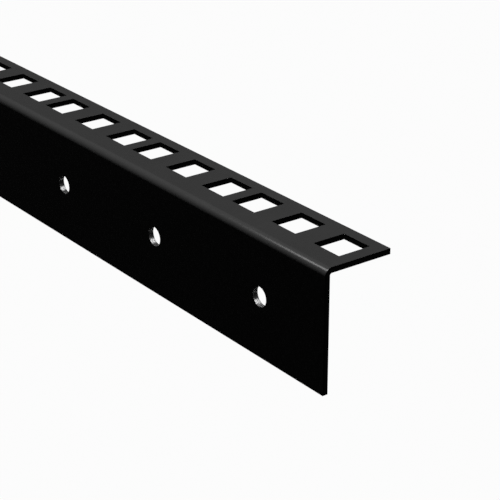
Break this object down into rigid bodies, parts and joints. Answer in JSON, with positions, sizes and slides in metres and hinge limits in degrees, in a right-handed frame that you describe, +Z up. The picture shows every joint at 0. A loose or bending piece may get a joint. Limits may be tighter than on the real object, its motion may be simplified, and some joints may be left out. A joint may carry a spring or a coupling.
{
  "type": "rack rail",
  "caption": "Straight steel angle rail for a rack case: square holes for cage nuts down the narrow flange, round screw holes down the wide leg.",
  "frame": {"origin": "middle of the bounding box's bottom face, on the floor that the two free edges lie on", "axes": "+X along the rail; +Y towards the side that the flange's outer face looks to; +Z up, with the fold on top"},
  "size_m": [0.3592, 0.0374, 0.0166],
  "materials": {
    "black_powder_coat": "satin black powder coat on steel"
  },
  "bodies": {
    "root": {"rack_rail": "black_powder_coat"}
  },
  "joints": []
}
